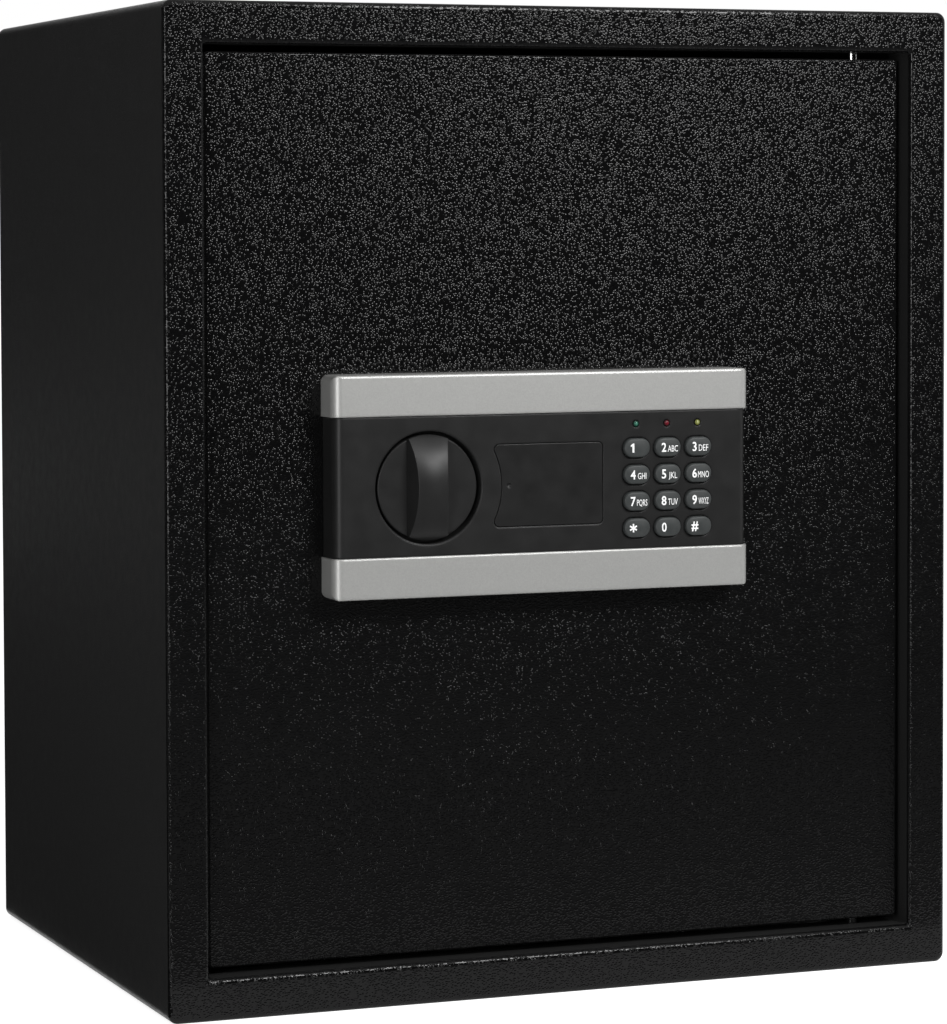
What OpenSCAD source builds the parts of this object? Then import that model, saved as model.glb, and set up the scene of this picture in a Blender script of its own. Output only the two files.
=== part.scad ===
// Electronic safe with a hinged door, motor-free boltwork and a keypad panel.
// Front of the safe faces -Y, its width runs along X, and Z = 0 is the underside.
// The origin is the centre of the cabinet's underside.

/* [Cabinet] */
// Width of the cabinet
cabinet_w = 350; // [320:1:460]
// Depth of the cabinet, frame face to back
cabinet_d = 260; // [200:1:420]
// Height of the cabinet
cabinet_h = 410; // [380:1:600]
// Thickness of the cabinet's sheet steel
wall_t = 2; // [1.5:0.1:3]
// Outer radius of the four long edges
edge_r = 4; // [3:0.5:12]
// Width of the face round the door
border = 17.2; // [14:0.1:22]
// Depth of the flange that turns in round the door
flange_d = 20; // [18:0.1:21]
// Outer radius of the bend between face and flange
bend_r = 2.2; // [2.1:0.1:4]
// Rounding of the face's outer edge
face_edge_r = 1.1; // [0.5:0.1:1.6]

/* [Anchor holes] */
// Diameter of the holes in back and floor
anchor_d = 12; // [8:0.5:16]
// Distance between the two holes in each
anchor_pitch = 200; // [120:5:240]
// Height of the back holes above the base
anchor_z = 300; // [240:5:350]

/* [Interior] */
// Height of the shelf above the base
shelf_z = 190; // [120:1:230]
// Thickness of the shelf
shelf_t = 1.5; // [1:0.1:3]
// Distance from the cabinet's face to the shelf's front edge
shelf_setback = 64; // [62:1:90]
// Depth of the shelf's turned-down front lip
shelf_lip = 12; // [8:1:20]
// Width of each leg of the shelf brackets
bracket_leg = 12; // [8:1:20]
// Thickness of the floor mat
mat_t = 2; // [1:0.5:4]

/* [Door] */
// How far the door sits behind the cabinet's face
door_setback = 8; // [6:0.1:9]
// Thickness of the door plate
door_t = 4; // [3:0.1:5]
// Rounding of the door plate's front edge
door_edge_r = 0.9; // [0.4:0.1:1.3]
// Gap at the left and right of the door
gap_side = 2.2; // [1.8:0.1:3]
// Gap above and below the door
gap_top = 3; // [2:0.1:4]
// Depth of the casing behind the door plate
casing_d = 38; // [36.5:0.1:40]
// Sheet thickness of the casing
casing_t = 1.5; // [1:0.1:2]
// Distance from the door's free edge to the casing
casing_inset = 4.6; // [4:0.1:6]
// Distance from the door's hinge edge to the casing
casing_hinge_inset = 31.6; // [30:0.1:40]
// Distance from the door's top and bottom to the casing
casing_top_inset = 6; // [5:0.5:10]

/* [Hinge] */
// Distance from the cabinet's side to the hinge axis
hinge_inset = 37.4; // [36:0.1:39]
// Distance from the cabinet's face to the hinge axis
hinge_back = 15; // [14.8:0.1:15.2]
// Diameter of the hinge pins
pin_d = 5; // [4:0.1:5.6]
// Thickness of the bearing plates on the flange
hinge_plate_t = 4; // [3:0.5:6]

/* [Boltwork] */
// Diameter of the locking bolts
bolt_d = 18; // [14:0.5:18]
// Distance between the two bolts
bolt_pitch = 100; // [90:1:160]
// Travel of the bolts
throw = 16; // [14:0.5:17]
// Distance from the cabinet's face to the bolts' axes
bolt_back = 31; // [30.5:0.1:31.5]
// Thickness of the bolt carriage
carriage_t = 3; // [2:0.1:3]
// Diameter of the crank's pin
crank_pin_d = 5; // [4:0.1:6]
// Diameter of the carriage's guide studs
stud_d = 6; // [4:0.1:7]

/* [Panel] */
// Width of the panel over its silver caps
panel_w = 184.9; // [178:0.1:190]
// Height of the panel over its silver caps
panel_h = 91.1; // [88:0.1:96]
// How far the caps stand out from the door plate
panel_d = 15.3; // [14.5:0.1:17]
// Height of each silver cap
trim_h = 16.9; // [14:0.1:17.5]
// Wall thickness of the caps
trim_t = 1.5; // [1:0.1:2]
// How far the caps stand proud of the black front
trim_proud = 0.8; // [0.4:0.1:1.2]
// Radius of the panel's upright front edges
panel_r = 4; // [3:0.1:5]
// Rounding of the caps' long outer edges
cap_edge_r = 1; // [0.5:0.1:1.4]
// Rounding of the caps' edges along the black front
cap_lip_r = 0.5; // [0.3:0.1:0.7]
// Radius of the caps' corners seen from the front
corner_r = 3; // [2:0.1:4]
// Wall thickness of the housing
housing_t = 2.5; // [2:0.1:2.5]
// Sideways position of the panel's middle
panel_x = -14.4; // [-20:0.1:-10]
// Height of the panel's middle above the door's middle
panel_rise = 8.9; // [0:0.1:12]

/* [Knob] */
// Diameter of the knob's well
well_d = 46; // [45:0.1:47]
// Diameter of the knob's disc
knob_d = 43.4; // [40:0.1:43.4]
// Distance from the panel's middle to the knob's axis
knob_offset = 51.1; // [50:0.1:52]
// Rounding of the disc's rim
knob_rim_r = 0.7; // [0.3:0.1:1]
// Width of the bevel round the knob's well
well_bevel = 0.5; // [0.2:0.1:0.8]
// How far the disc lies below the black front
knob_sink = 1.7; // [1:0.1:2]
// Height of the fin at its middle
fin_rise = 8.2; // [6:0.1:10]
// Width of the fin at its foot
fin_foot_w = 18; // [15:0.1:20]
// Width of the fin at its crest
fin_crest_w = 11.4; // [8:0.1:13]
// Diameter of the knob's spindle
spindle_d = 8; // [6:0.1:9]

/* [Keys] */
// Width of a key
key_w = 11.8; // [10:0.1:12]
// Height of a key
key_h = 8; // [7:0.1:8.4]
// How far a key stands out
key_proud = 2.2; // [1.5:0.1:3]
// Travel of a key
key_travel = 1; // [0.6:0.1:1]
// Sideways distance between keys
key_pitch_x = 14; // [14:0.1:14.5]
// Upright distance between keys
key_pitch_z = 11.1; // [11:0.1:11.2]
// Distance from the panel's middle to the middle column of keys
keys_offset = 54.9; // [54.5:0.1:56]
// Diameter of the lamps
lamp_d = 3; // [2:0.1:4]

/* [Keyhole cover] */
// Width of the cover at its widest
cover_w = 48; // [46:0.1:50]
// Height of the cover
cover_h = 33.6; // [30:0.1:36]
// Thickness of the cover
cover_t = 1.6; // [1.2:0.1:2]
// Distance from the knob's axis to the cover's hollow edge
cover_hollow_r = 32.2; // [30:0.1:33]
// Gap round the cover in the black front
cover_gap = 0.35; // [0.2:0.05:0.4]
// Corner radius of the cover
cover_r = 2; // [1.5:0.1:3]

/* [Key lock] */
// Diameter of the lock's barrel
barrel_d = 18; // [16:0.1:18]
// Diameter of the lock's plug
plug_d = 12; // [10:0.1:12]
// Distance from the panel's middle to the lock
lock_offset = 2.4; // [2:0.1:5]
// Radius of the eccentric cam
cam_r = 9; // [8.8:0.1:9.2]
// Thickness of the cam
cam_t = 3; // [2:0.1:4]

/* [Blocker] */
// Travel of the plunger, and offset of the cam
plunger_travel = 6; // [5:0.1:6]
// Diameter of the plunger
plunger_d = 6; // [5:0.1:6]
// Diameter of the coil
coil_d = 22; // [20:0.5:23]
// Height of the coil
coil_h = 36; // [30:0.5:40]
// Turns of the return spring
spring_turns = 5; // [4:1:7]
// Wire diameter of the return spring
spring_wire = 0.8; // [0.6:0.1:0.9]

/* [Batteries] */
// Diameter of a cell
cell_d = 14.2; // [14:0.1:14.5]
// Length of a cell without its tip
cell_l = 49.5; // [48:0.5:50.5]
// Number of cells side by side
cell_count = 4; // [2:1:4]
// Wall thickness of the battery box
box_t = 1.5; // [1:0.1:2]

/* [Hidden] */
// Clearance of a pin that turns or slides in a bore
fit = 0.05;
// Clearance between sheet parts and parts that move past each other
clear = 0.3;
// Gap between parts that are pressed or welded together
seat = 0.02;
// Gap between parts that slip over or into each other
hair = 0.1;

front_y = -cabinet_d / 2;
back_y = cabinet_d / 2;
open_w = cabinet_w - 2 * border;
open_h = cabinet_h - 2 * border;
open_top = cabinet_h - border;
mid_z = cabinet_h / 2;

door_w = open_w - 2 * gap_side;
door_h = open_h - 2 * gap_top;
door_top = mid_z + door_h / 2;
door_bottom = mid_z - door_h / 2;
door_y = front_y + door_setback;
plate_y = door_y + door_t;
door_corner_r = 1.5;
casing_y = plate_y + casing_d;
casing_x0 = -door_w / 2 + casing_inset;
casing_x1 = door_w / 2 - casing_hinge_inset;
casing_z0 = door_bottom + casing_top_inset;
casing_z1 = door_top - casing_top_inset;
rim_y = casing_y - casing_t;
rim_lip = 10;
cover_screw_in = 6;
cover_screw_down = 8;
cover_screw_low = door_h * 0.19;
plate_hole_gap = 0.25;

hinge_x = cabinet_w / 2 - hinge_inset;
hinge_y = front_y + hinge_back;
block_w = 16;
block_h = 24;
block_drop = 2;
bracket_in = 8;
bracket_back = 12;
hinge_plate_w = 24;
hinge_plate_front = 8;
hinge_plate_back = 6;

panel_z = mid_z + panel_rise;
cap_y = door_y - panel_d;
black_y = cap_y + trim_proud;
black_w = panel_w - 2 * trim_proud;
wall_y = black_y + housing_t;
boss_in_x = 8.5;
boss_in_z = 9;
boss_x = black_w / 2 - boss_in_x;
boss_z = panel_h / 2 - boss_in_z;
boss_d = 8;
screw_d = 3.4;
screw_head_d = 7;
stud_flange_d = 11;
stud_head_d = 10;
stud_head_t = 2.5;
screw_head_t = 2;
screw_deep = 5;
latch_x = 14;
nut_t = 5;
nut_over = 9;
keyway = 10;
latch_z = 9;
inner_w = panel_w - 2 * (trim_t + hair + housing_t);
board_in = 28;
board_gap = 3.5;
board_x0 = panel_x + keys_offset - board_in;
board_x1 = panel_x + inner_w / 2 - board_gap;

knob_x = panel_x - knob_offset;
knob_drop = 0.7;
knob_z = panel_z - knob_drop;
disc_y = black_y + knob_sink;
disc_t = 4.3;
fin_r = (pow(knob_d / 2, 2) + pow(fin_rise, 2)) / (2 * fin_rise);
well_floor_t = 2;
well_floor_y = disc_y + disc_t + clear;
bush_flange_t = 1.4;

bolt_y = front_y + bolt_back;
bolt_tip_x = casing_x0 - 1.6;
carriage_y = plate_y + 8;
carriage_back = carriage_y + carriage_t;
// The crank swings 45 degrees to each side of upright, which sets its radius from the throw.
crank_swing = 45;
crank_r = throw / 2 / sin(crank_swing);
crank_t = 4;
crank_y = carriage_y - crank_t - 0.5;
slot_play = 0.45;
bolt_len = 33.5;
bolt_screw_d = 6;
bolt_screw_head_d = 10;
bolt_screw_head_t = 4;
bolt_thread_l = 12;
flange_x = bolt_tip_x + bolt_len;
carriage_reach = 27.6;
carriage_x1 = knob_x + carriage_reach;
carriage_z = knob_z;
spine_w = 39;
arm_h = 34;
stud_in = 11;
stud_x = flange_x + stud_in;
// The studs keep 2 mm below and above the heads of the panel's screws.
stud_rise = boss_z - knob_drop - (stud_flange_d + screw_head_d) / 2 - 2;
lever_h = 8.5;
guide_t = 4;
guide_over = 20;
spine_over = 12;

lock_x = panel_x + lock_offset;
lock_z = knob_z;
barrel_front = black_y + 2.3;
barrel_back = carriage_back + 1.7;
cam_y = bolt_y - cam_t / 2;
plug_tail_d = 8;
head_t = 2;
head_d = 12;
// The head stops just under the cam at the cam's lowest point.
head_z = lock_z - cam_r - plunger_travel - clear;
block_t = 4;
head_gap = 11.9;
block_z = head_z - head_gap;
blocker_w = 5;
tab_w = throw - blocker_w - 2;
tab_x = lock_x + throw / 2;
tab_z = block_z + 0.5;
lever_z = block_z + plunger_travel + 1;
frame_t = 2;
coil_gap = 10;
coil_top = block_z - block_t - coil_gap - frame_t;
coil_z = coil_top - clear - coil_h;
spring_d = 9;
spring_gap = 0.4;

box_w = cell_count * (cell_d + 0.8) + 2 * box_t;
box_h = cell_l + 8 + 2 * box_t;
box_d = cell_d + 2.6;
box_in = 74;
box_drop = 101;
box_x = casing_x1 - box_in;
box_z = casing_z1 - box_drop;
box_y0 = casing_y - box_d;
rim_over = 4;
rail_w = 2;
lid_t = 1.8;
lid_gap = 0.5;
lid_y = casing_y + box_t + clear;
lid_w = box_w + 2 * rim_over - 2 * rail_w - 2 * lid_gap;
lid_h = box_h + 2 * rim_over - rail_w - lid_gap;

reset_in = 30;
reset_drop = 10;
reset_x = casing_x1 - reset_in;
reset_z = mid_z - reset_drop;
reset_d = 7;
reset_travel = 1.2;

keys_up = 13.3;
keys_top_z = panel_z + keys_up;
keys_x = panel_x + keys_offset;
key_rows = 4;
key_columns = 3;
lamp_row = -0.9;
key_flange = 0.8;
// The mat's front, just behind a key that is pressed home.
mat_y = wall_y + hair + key_flange + key_travel + 1.1;
mat_depth = 1.2;
mat_margin = 2;
mat_w = (key_columns - 1) * key_pitch_x + key_w + 2 * mat_margin;
mat_h = (key_rows - 1) * key_pitch_z + key_h + 2 * mat_margin;
mat_z = keys_top_z - (key_rows - 1) * key_pitch_z / 2;
board_t = 1.6;
board_y = mat_y + mat_depth + hair;
board_up = 30;
board_down = 32.5;
post_d = 4;
post_in = 3;
chip_w = 16;
chip_h = 12;
chip_t = 1.8;
chip_drop = 14;
wire_hole_d = 10;
wire_up = 4;

STEEL_BLACK = [0.07, 0.07, 0.075];
PLASTIC_BLACK = [0.11, 0.11, 0.11];
SILVER = [0.68, 0.68, 0.66];
KEY_GREY = [0.3, 0.31, 0.31];
ZINC = [0.72, 0.72, 0.7];

// Rectangle with round corners, centred.
module round_rect(w, h, r) {
    square([w - 2 * r, h], center = true);
    square([w, h - 2 * r], center = true);
    for (x = [-1, 1], z = [-1, 1])
        translate([x * (w / 2 - r), z * (h / 2 - r)])
            circle(r, $fn = 32);
}

// Pill: a rectangle with half-round ends.
module pill(w, h) {
    square([w - h, h], center = true);
    for (x = [-1, 1])
        translate([x * (w - h) / 2, 0])
            circle(h / 2, $fn = 32);
}

// Outline drawn in X and Z, made solid from y0 back to y1.
module along_y(y0, y1) {
    translate([0, y1, 0])
        rotate([90, 0, 0])
            linear_extrude(y1 - y0)
                children();
}

// Round bar along Y at x, z.
module rod_y(d, x, z, y0, y1) {
    translate([x, y1, z])
        rotate([90, 0, 0])
            cylinder(h = y1 - y0, d = d, $fn = 48);
}

// Round bar along X at y, z.
module rod_x(d, y, z, x0, x1) {
    translate([x0, y, z])
        rotate([0, 90, 0])
            cylinder(h = x1 - x0, d = d, $fn = 48);
}

// Half section of a plate: flat front at y = 0, rounded into the side.
module edge_profile(end, depth, r) {
    translate([0, r])
        square([end, depth - r]);
    square([end - r, r + 0.01]);
    intersection() {
        translate([end - r, r])
            circle(r, $fn = 32);
        translate([end - r - 0.01, 0])
            square([r + 0.01, r + 0.01]);
    }
}

// Bar of that section, rounded along both of its long sides, from -len / 2 to len / 2 along X.
module edge_bar(len, half, depth, r) {
    rotate([90, 0, 90])
        translate([0, 0, -len / 2])
            linear_extrude(len) {
                edge_profile(half, depth, r);
                mirror([1, 0])
                    edge_profile(half, depth, r);
            }
}

// Plate in X and Z with round corners and a rounded front edge; its front is at y = 0.
module soft_plate(w, h, corner, depth, r) {
    rotate([-90, 0, 0]) {
        edge_bar(w - 2 * corner, h / 2, depth, r);
        rotate([0, 0, 90])
            edge_bar(h - 2 * corner, w / 2, depth, r);
        for (x = [-1, 1], z = [-1, 1])
            translate([x * (w / 2 - corner), z * (h / 2 - corner), 0])
                rotate_extrude($fn = 48)
                    edge_profile(corner, depth, r);
    }
}

// Box from one corner to the opposite one.
module block(a, b) {
    translate(a)
        cube(b - a);
}

// Cabinet

module cabinet_shell() color(STEEL_BLACK) {
    difference() {
        along_y(front_y + wall_t, back_y)
            translate([0, mid_z])
                difference() {
                    round_rect(cabinet_w, cabinet_h, edge_r);
                    round_rect(cabinet_w - 2 * wall_t, cabinet_h - 2 * wall_t, edge_r - wall_t);
                }
        for (x = [-1, 1])
            translate([x * anchor_pitch / 2, 0, -1])
                cylinder(h = wall_t + 2, d = anchor_d, $fn = 48);
    }
}

module back_panel() color(STEEL_BLACK) {
    difference() {
        along_y(back_y - wall_t, back_y)
            translate([0, mid_z])
                round_rect(
                    cabinet_w - 2 * (wall_t + hair), cabinet_h - 2 * (wall_t + hair), edge_r - wall_t
                );
        for (x = [-1, 1])
            rod_y(anchor_d, x * anchor_pitch / 2, anchor_z, back_y - wall_t - 1, back_y + 1);
    }
}

// Bend and flange along one side of the opening, cut to a mitre at both ends.
// The side's inner face is at x = 0 and its material lies towards +X.
module frame_side(len) {
    reach = bend_r;
    intersection() {
        translate([0, 0, -len / 2 - reach])
            linear_extrude(len + 2 * reach) {
                translate([0, front_y + bend_r])
                    square([wall_t, flange_d - bend_r]);
                intersection() {
                    translate([0, front_y])
                        square([bend_r, bend_r]);
                    difference() {
                        translate([bend_r, front_y + bend_r])
                            circle(bend_r, $fn = 48);
                        translate([bend_r, front_y + bend_r])
                            circle(bend_r - wall_t, $fn = 48);
                    }
                }
            }
        along_y(front_y - 1, front_y + flange_d + 1)
            polygon([
                [-1, len / 2 - 1],
                [reach, len / 2 + reach],
                [reach, -len / 2 - reach],
                [-1, -len / 2 + 1]
            ]);
    }
}

module front_frame() color(STEEL_BLACK) {
    difference() {
        union() {
            difference() {
                translate([0, front_y, mid_z])
                    soft_plate(cabinet_w, cabinet_h, edge_r, wall_t, face_edge_r);
                along_y(front_y - 1, front_y + wall_t + 1)
                    translate([0, mid_z])
                        square([open_w + 2 * bend_r, open_h + 2 * bend_r], center = true);
            }
            translate([0, 0, mid_z]) {
                for (turn = [0, 180])
                    rotate([0, turn, 0])
                        translate([open_w / 2, 0, 0])
                            frame_side(open_h);
                for (turn = [90, 270])
                    rotate([0, turn, 0])
                        translate([open_h / 2, 0, 0])
                            frame_side(open_w);
            }
        }
        translate([hinge_x, hinge_y, border - wall_t - 1])
            cylinder(h = wall_t + 2, d = pin_d + 2, $fn = 48);
        translate([hinge_x, hinge_y, open_top - 1])
            cylinder(h = wall_t + 2, d = pin_d + 2, $fn = 48);
    }
}

module hinge_plates() color(STEEL_BLACK) {
    for (top = [0, 1])
        translate([hinge_x, hinge_y, top ? open_top + wall_t : border - wall_t - hinge_plate_t])
            difference() {
                translate([-hinge_plate_w / 2, -hinge_plate_front, 0])
                    cube([hinge_plate_w, hinge_plate_front + hinge_plate_back, hinge_plate_t]);
                translate([0, 0, -1])
                    cylinder(h = hinge_plate_t + 2, d = pin_d + 2 * fit, $fn = 48);
            }
}

module floor_mat() color([0.16, 0.16, 0.17]) {
    side = cabinet_w / 2 - edge_r - 2;
    difference() {
        block([-side, front_y + flange_d + 2, wall_t], [side, back_y - wall_t - 2, wall_t + mat_t]);
        for (x = [-1, 1])
            translate([x * anchor_pitch / 2, 0, 0])
                cylinder(h = wall_t + mat_t + 1, d = anchor_d + 2, $fn = 48);
    }
}

module shelf_brackets() color(STEEL_BLACK) {
    side = cabinet_w / 2 - wall_t;
    y0 = front_y + shelf_setback + bracket_in;
    y1 = back_y - wall_t - bracket_back;
    top = shelf_z;
    for (turn = [0, 1])
        mirror([turn, 0, 0]) {
            block([side - bracket_leg, y0, top - wall_t], [side, y1, top]);
            block([side - wall_t, y0, top - bracket_leg], [side, y1, top]);
        }
}

module shelf() color(STEEL_BLACK) {
    side = cabinet_w / 2 - wall_t - 1;
    y0 = front_y + shelf_setback;
    y1 = back_y - wall_t - 1;
    block([-side, y0, shelf_z + 0.1], [side, y1, shelf_z + 0.1 + shelf_t]);
    block([-side, y0, shelf_z - shelf_lip], [side, y0 + shelf_t, shelf_z + 0.1 + shelf_t]);
}

// Door

module door_plate() color(STEEL_BLACK) {
    difference() {
        translate([0, door_y, mid_z])
            soft_plate(door_w, door_h, door_corner_r, door_t, door_edge_r);
        rod_y(spindle_d + 4 + 2 * seat, knob_x, knob_z, door_y - 1, plate_y + 1);
        rod_y(barrel_d + 2 * plate_hole_gap, lock_x, lock_z, door_y - 1, plate_y + 1);
        rod_y(wire_hole_d, keys_x, panel_z + wire_up, door_y - 1, plate_y + 1);
        for (x = [-1, 1], z = [-1, 1])
            rod_y(screw_d + 1, panel_x + x * boss_x, panel_z + z * boss_z, door_y - 1, plate_y + 1);
    }
}

module casing_outline(inset = 0) {
    translate([(casing_x0 + casing_x1) / 2, (casing_z0 + casing_z1) / 2])
        square([casing_x1 - casing_x0 - 2 * inset, casing_z1 - casing_z0 - 2 * inset], center = true);
}

module at_cover_screws() {
    for (x = [casing_x0 + cover_screw_in, casing_x1 - cover_screw_in])
        for (z = [casing_z0 + cover_screw_down, mid_z - cover_screw_low, casing_z1 - cover_screw_down])
            translate([x, z])
                children();
}

module door_rim() color(STEEL_BLACK) {
    difference() {
        union() {
            along_y(plate_y, rim_y - casing_t)
                difference() {
                    casing_outline();
                    casing_outline(casing_t);
                }
            along_y(rim_y - casing_t, rim_y)
                difference() {
                    casing_outline();
                    casing_outline(rim_lip);
                }
        }
        for (z = [-1, 1])
            rod_x(bolt_d + 2 * clear, bolt_y, carriage_z + z * bolt_pitch / 2, casing_x0 - 1, casing_x0 + 3);
        along_y(rim_y - casing_t - 1, rim_y + 1)
            at_cover_screws()
                circle(d = screw_d, $fn = 24);
    }
}

module door_cover() color(STEEL_BLACK) {
    difference() {
        along_y(rim_y, casing_y)
            difference() {
                casing_outline();
                at_cover_screws()
                    circle(d = screw_d + 0.6, $fn = 24);
                translate([box_x, box_z])
                    square([box_w + 2 * clear, box_h + 2 * clear], center = true);
            }
        rod_y(reset_d + 2 * clear, reset_x, reset_z, rim_y - 1, casing_y + 1);
    }
}

module cover_screws() color(ZINC) {
    along_y(casing_y, casing_y + screw_head_t)
        at_cover_screws()
            circle(d = screw_head_d, $fn = 32);
    along_y(rim_y - screw_deep, casing_y + 0.5)
        at_cover_screws()
            circle(d = screw_d - 2 * seat, $fn = 24);
}

module hinge_blocks() color(STEEL_BLACK) {
    for (top = [0, 1])
        translate([hinge_x, 0, top ? door_top - block_drop - block_h : door_bottom + block_drop])
            difference() {
                block([-block_w / 2, plate_y, 0], [block_w / 2, hinge_y + block_w / 2, block_h]);
                translate([0, hinge_y, top ? 4 : -1])
                    cylinder(h = block_h - 3, d = pin_d + 2 * seat, $fn = 48);
            }
}

module hinge_pins() color(ZINC) {
    pin_out = wall_t + hinge_plate_t + 0.7;
    pin_in = block_drop + block_h - 4;
    for (top = [0, 1])
        translate([hinge_x, hinge_y, top ? door_top - pin_in : border - pin_out])
            cylinder(h = pin_in + gap_top + pin_out, d = pin_d, $fn = 48);
}

// Keypad panel

// Plan of the panel in X and Y: square at the door, round at the front edges.
module panel_plan(w, y, r) {
    half = w / 2;
    difference() {
        translate([-half, y])
            square([w, door_y - y]);
        for (turn = [0, 1])
            mirror([turn, 0])
                translate([-half - 1, y - 1])
                    square([r + 1, r + 1]);
    }
    for (x = [-1, 1])
        intersection() {
            translate([x * (half - r), y + r])
                circle(r, $fn = 48);
            translate([-half, y])
                square([w, r]);
        }
}

// The keyhole cover: its left edge is hollow about the knob's axis.
// Corner circles touch both the hollow edge and the straight edges.
module cover_outline(grow = 0) {
    h = cover_h + 2 * grow;
    r = cover_r + grow;
    hollow = cover_hollow_r - grow;
    corner_z = h / 2 - r;
    corner_x = sqrt(pow(hollow + r, 2) - pow(corner_z, 2));
    right = sqrt(pow(cover_hollow_r + cover_r, 2) - pow(cover_h / 2 - cover_r, 2)) - cover_r + cover_w + grow;
    translate([knob_x, knob_z])
        difference() {
            union() {
                polygon([[0, 0], [corner_x, corner_z], [corner_x, -corner_z]]);
                translate([corner_x, -h / 2])
                    square([right - r - corner_x, h]);
                translate([right - r - 0.01, -corner_z])
                    square([r + 0.01, 2 * corner_z]);
                for (x = [corner_x, right - r], z = [-1, 1])
                    translate([x, z * corner_z])
                        circle(r, $fn = 32);
            }
            circle(hollow, $fn = 96);
        }
}

module at_key(column, row) {
    translate([panel_x + keys_offset + (column - 1) * key_pitch_x, 0, keys_top_z - row * key_pitch_z])
        children();
}

module panel_housing() color(PLASTIC_BLACK) {
    core_w = panel_w - 2 * (trim_t + hair);
    core_y = cap_y + trim_t + hair;
    core_z = panel_h / 2 - trim_t - hair;
    black_z = panel_h / 2 - trim_h - hair;
    difference() {
        union() {
            translate([panel_x, 0, panel_z]) {
                difference() {
                    union() {
                        translate([0, 0, -core_z])
                            linear_extrude(2 * core_z)
                                panel_plan(core_w, core_y, panel_r - trim_t);
                        translate([0, 0, -black_z])
                            linear_extrude(2 * black_z)
                                panel_plan(black_w, black_y, panel_r);
                    }
                    block(
                        [-inner_w / 2, wall_y, -core_z + housing_t],
                        [inner_w / 2, door_y + 1, core_z - housing_t]
                    );
                }
                for (x = [-1, 1], z = [-1, 1])
                    rod_y(boss_d, x * boss_x, z * boss_z, wall_y - 1, door_y);
            }
            rod_y(well_d + 4, knob_x, knob_z, wall_y - 1, well_floor_y + well_floor_t);
            rod_y(barrel_d + 8, lock_x, lock_z, wall_y - 1, barrel_front + 6);
            along_y(wall_y - 1, black_y + cover_t + 2.8)
                cover_outline(3);
        }
        rod_y(well_d, knob_x, knob_z, black_y - 1, well_floor_y);
        translate([knob_x, black_y + well_bevel, knob_z])
            rotate([90, 0, 0])
                cylinder(h = well_bevel + 0.01, d1 = well_d, d2 = well_d + 2 * well_bevel, $fn = 48);
        rod_y(spindle_d + 1, knob_x, knob_z, black_y - 1, door_y + 1);
        along_y(black_y - 1, black_y + cover_t + 1)
            cover_outline(cover_gap);
        rod_y(barrel_d + 2 * plate_hole_gap, lock_x, lock_z, black_y - 1, door_y + 1);
        for (x = [-1, 1], z = [-1, 1])
            rod_y(screw_d, panel_x + x * boss_x, panel_z + z * boss_z, wall_y, door_y + 1);
        for (row = [0:key_rows - 1], column = [0:key_columns - 1])
            at_key(column, row)
                along_y(black_y - 1, wall_y + 1)
                    pill(key_w + 2 * clear, key_h + 2 * clear);
        for (column = [0:key_columns - 1])
            at_key(column, lamp_row)
                rod_y(lamp_d + 2 * seat, 0, 0, black_y - 1, wall_y + 1);
    }
    for (x = [board_x0 + post_in, board_x1 - post_in])
        for (z = [board_up - post_d / 2, post_d / 2 - board_down])
            rod_y(post_d, x, panel_z + z, wall_y - 0.5, board_y - seat);
}

// Section of a cap in Y and Z, with both of its front edges rounded.
module cap_section() {
    top = panel_h / 2;
    bottom = top - trim_h;
    translate([cap_y + cap_edge_r, bottom])
        square([door_y - cap_y - cap_edge_r, trim_h]);
    translate([cap_y, bottom + cap_lip_r])
        square([cap_edge_r + 0.01, trim_h - cap_edge_r - cap_lip_r]);
    translate([cap_y + cap_lip_r, bottom])
        square([cap_edge_r, cap_lip_r + 0.01]);
    translate([cap_y + cap_edge_r, top - cap_edge_r])
        circle(cap_edge_r, $fn = 32);
    translate([cap_y + cap_lip_r, bottom + cap_lip_r])
        circle(cap_lip_r, $fn = 32);
}

// One silver cap; the top one is drawn and the bottom one is its mirror image.
module trim_cap() {
    difference() {
        intersection() {
            translate([0, 0, panel_h / 2 - trim_h])
                linear_extrude(trim_h)
                    panel_plan(panel_w, cap_y, panel_r);
            along_y(cap_y, door_y)
                round_rect(panel_w, panel_h, corner_r);
            translate([-panel_w, 0, 0])
                rotate([90, 0, 90])
                    linear_extrude(2 * panel_w)
                        cap_section();
        }
        translate([0, 0, panel_h / 2 - trim_h - 1])
            linear_extrude(trim_h + 1 - trim_t)
                difference() {
                    panel_plan(panel_w - 2 * trim_t, cap_y + trim_t, panel_r - trim_t);
                    translate([-panel_w, door_y])
                        square([2 * panel_w, 1]);
                }
        block(
            [-panel_w / 2 + trim_t, door_y - 0.5, 0],
            [panel_w / 2 - trim_t, door_y + 1, panel_h / 2 - trim_t]
        );
    }
}

module trim_top() color(SILVER)
    translate([panel_x, 0, panel_z])
        trim_cap();

module trim_bottom() color(SILVER)
    translate([panel_x, 0, panel_z])
        mirror([0, 0, 1])
            trim_cap();

module panel_screws() color(ZINC) {
    for (x = [-1, 1], z = [-1, 1]) {
        rod_y(screw_head_d, panel_x + x * boss_x, panel_z + z * boss_z, plate_y, plate_y + 2.5);
        rod_y(
            screw_d - 2 * seat, panel_x + x * boss_x, panel_z + z * boss_z,
            wall_y + 2, plate_y + 0.5
        );
    }
}

module keypad_mat() color([0.2, 0.2, 0.21]) {
    block(
        [keys_x - mat_w / 2, mat_y, mat_z - mat_h / 2],
        [keys_x + mat_w / 2, mat_y + mat_depth, mat_z + mat_h / 2]
    );
    for (row = [0:key_rows - 1], column = [0:key_columns - 1])
        at_key(column, row)
            rod_y(6, 0, 0, mat_y - 1, mat_y);
}

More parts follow.
